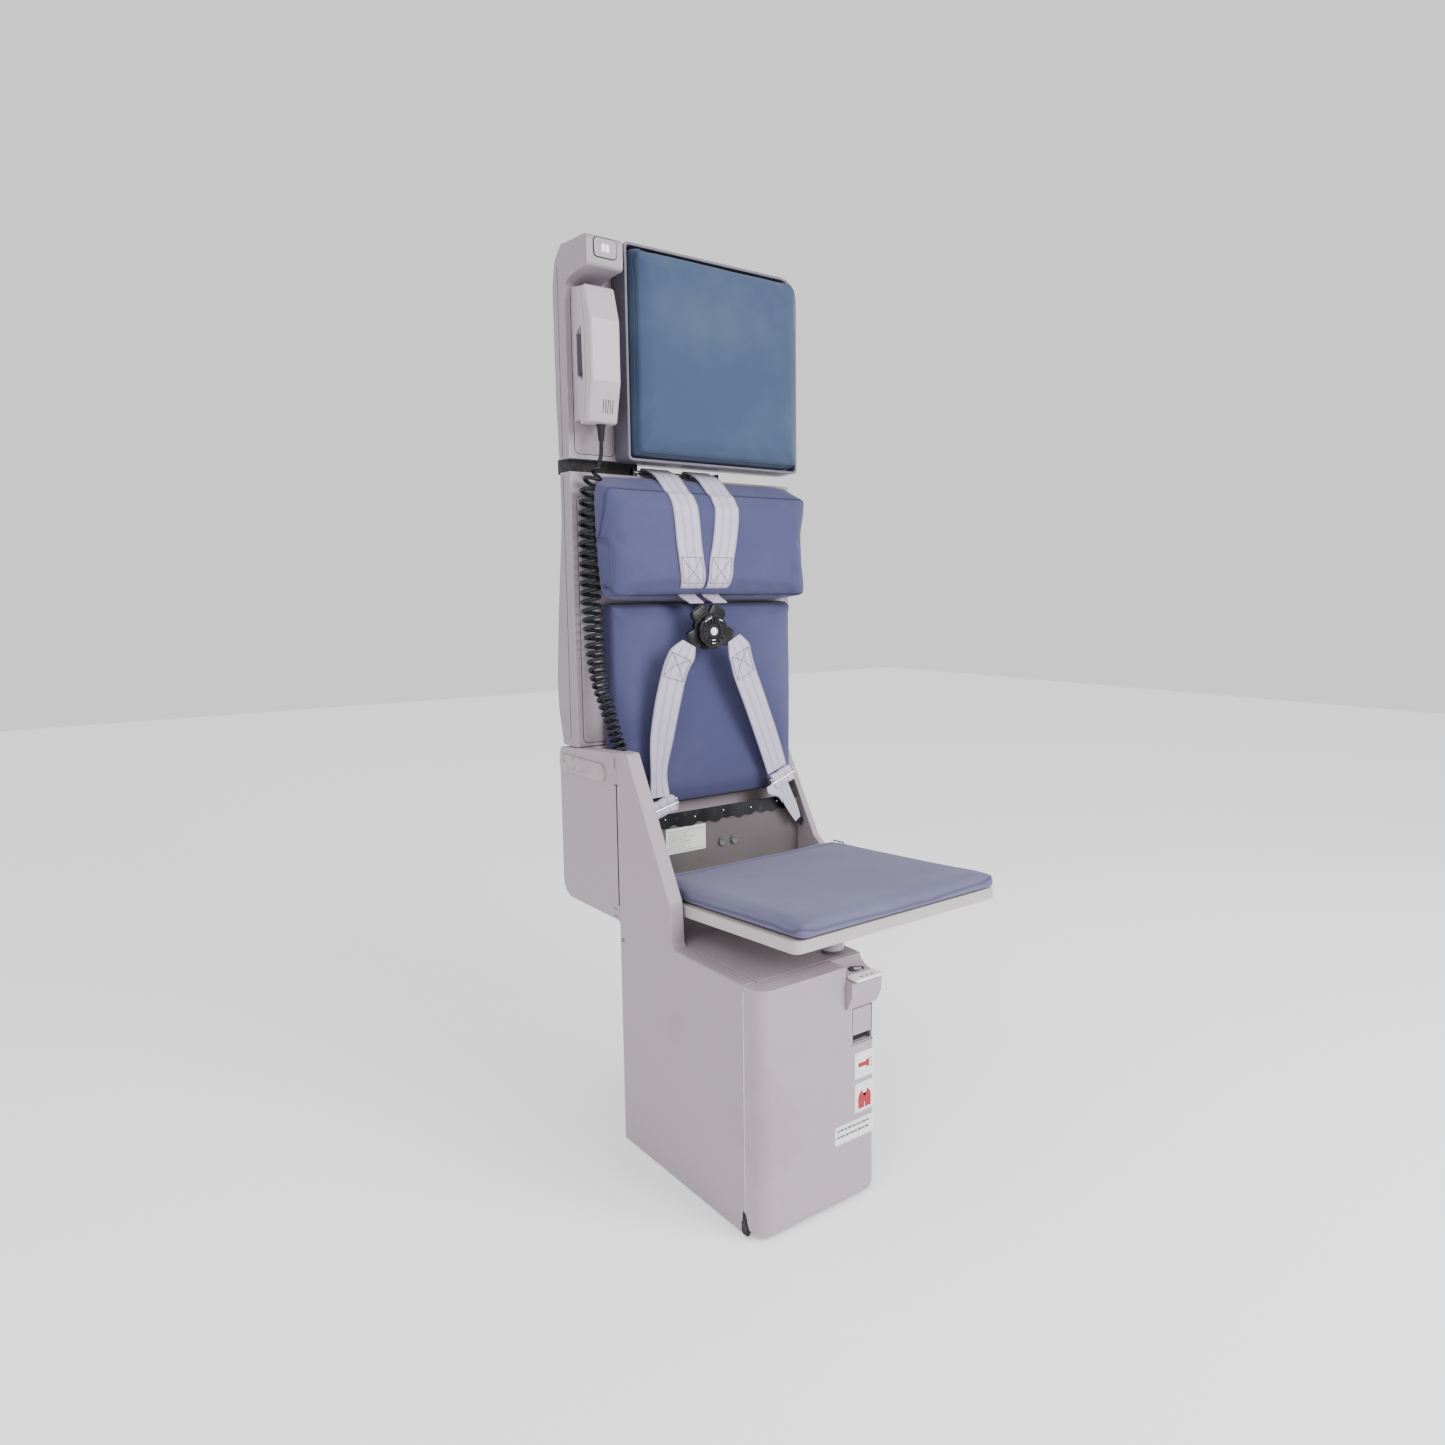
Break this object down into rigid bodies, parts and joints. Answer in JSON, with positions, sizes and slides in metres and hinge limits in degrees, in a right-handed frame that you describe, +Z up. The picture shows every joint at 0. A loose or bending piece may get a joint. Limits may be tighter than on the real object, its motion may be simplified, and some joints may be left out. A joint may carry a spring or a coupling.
{
  "type": "cabin attendant jump seat",
  "caption": "Wall-mounted folding crew seat with headrest, four-point harness, stowage box below and a corded interphone handset on its cradle.",
  "frame": {"origin": "on the floor, under the middle of the seat's overall box", "axes": "+Z up, -Y the front that the sitter faces, +Y into the mounting wall, +X the right-hand side seen from the front"},
  "size_m": [0.455, 0.6317, 1.466],
  "materials": {
    "shell_plastic": "satin moulded thermoplastic, warm pinkish light grey",
    "handset_plastic": "satin moulded plastic, pale mauve grey",
    "dark_plastic": "satin black",
    "white_plastic": "semi-gloss white",
    "headrest_fabric": "smooth upholstery, blue grey",
    "seat_fabric": "smooth upholstery, slate violet blue",
    "webbing": "woven polyester webbing, pale lilac",
    "black_metal": "black enamel",
    "steel": "brushed",
    "cord_rubber": "satin black jacket",
    "vest_fabric": "coated fabric, red"
  },
  "bodies": {
    "seat_frame": {"base_box_shell": "shell_plastic", "left_side_panel": "shell_plastic", "stowage_shelf": "shell_plastic", "life_vest_pouch": "vest_fabric", "torch_body": "dark_plastic", "pan_stop_pad": "dark_plastic", "door_hinge_pin": "steel", "rear_housing": "shell_plastic", "rear_side_cover": "shell_plastic", "right_side_wall": "shell_plastic", "backrest_lower_plate": "shell_plastic", "backrest_lower_rail": "black_metal", "wall_bracket_lower": "steel", "wall_bracket_upper": "steel", "mid_shell": "shell_plastic", "upper_shell": "shell_plastic", "sign_plate": "white_plastic", "headrest_tray": "shell_plastic", "headrest_cushion": "headrest_fabric", "bolster_cushion": "seat_fabric", "lower_back_cushion": "seat_fabric", "pan_hinge_shaft": "steel", "reel_frame": "black_metal", "reel_spool": "black_metal", "web_guide_bar": "steel", "shoulder_strap_left": "webbing", "shoulder_strap_right": "webbing", "lap_strap_left": "webbing", "lap_strap_right": "webbing", "lap_adjuster_left": "steel", "lap_adjuster_right": "steel", "lap_anchor_left": "black_metal", "lap_anchor_right": "black_metal", "buckle_body": "dark_plastic", "tongue_shoulder_left": "black_metal", "tongue_shoulder_right": "black_metal", "tongue_lap_left": "black_metal", "tongue_lap_right": "black_metal", "handset_cradle": "shell_plastic", "handset_lead": "cord_rubber", "curly_cord": "cord_rubber", "cord_gland": "dark_plastic"},
    "seat_pan": {"seat_pan": "shell_plastic", "seat_cushion": "seat_fabric", "pan_support_boss": "shell_plastic", "pan_hinge_arm_left": "steel", "pan_hinge_arm_right": "steel"},
    "front_door": {"front_door": "shell_plastic", "latch_cup": "shell_plastic", "torch_scoop": "shell_plastic", "torch_tab": "white_plastic"},
    "latch_paddle": {"latch_paddle": "shell_plastic"},
    "buckle_knob": {"buckle_knob": "dark_plastic"},
    "handset": {"handset_front_shell": "handset_plastic", "handset_rear_shell": "handset_plastic", "handset_earpiece": "dark_plastic", "handset_microphone": "dark_plastic", "cord_strain_relief": "cord_rubber"},
    "push_to_talk": {"push_to_talk_button": "dark_plastic"},
    "hook_switch": {"hook_switch_plunger": "dark_plastic"}
  },
  "joints": [
    {"name": "seat_pan_fold", "type": "hinge", "parent": "seat_frame", "child": "seat_pan", "pos_m": [0, 0.14, 0.405], "axis": [-1, 0, 0], "range_deg": [0, 80]},
    {"name": "front_door_swing", "type": "hinge", "parent": "seat_frame", "child": "front_door", "pos_m": [-0.2267, -0.2245, 0.18], "axis": [0, 0, -1], "range_deg": [0, 100]},
    {"name": "latch_paddle_lift", "type": "hinge", "parent": "front_door", "child": "latch_paddle", "pos_m": [-0.0405, -0.26, 0.297], "axis": [-1, 0, 0], "range_deg": [0, 35], "stiffness_Nm_per_rad": 0.05},
    {"name": "buckle_knob_turn", "type": "hinge", "parent": "seat_frame", "child": "buckle_knob", "pos_m": [-0.0165, 0.153, 0.8345], "axis": [0, -1, 0], "range_deg": [-30, 30], "stiffness_Nm_per_rad": 0.1},
    {"name": "handset_lift", "type": "slide", "parent": "seat_frame", "child": "handset", "axis": [0, -1, 0], "range_m": [0, 0.08]},
    {"name": "push_to_talk_press", "type": "slide", "parent": "handset", "child": "push_to_talk", "axis": [0, -1, 0], "range_m": [0, 0.0025], "stiffness_N_per_m": 400},
    {"name": "hook_switch_travel", "type": "slide", "parent": "seat_frame", "child": "hook_switch", "axis": [0, -1, 0], "range_m": [0, 0.0035]}
  ],
  "couplings": [
    {"joint": "hook_switch_travel", "follows": "handset_lift", "ratio": 0.04}
  ]
}
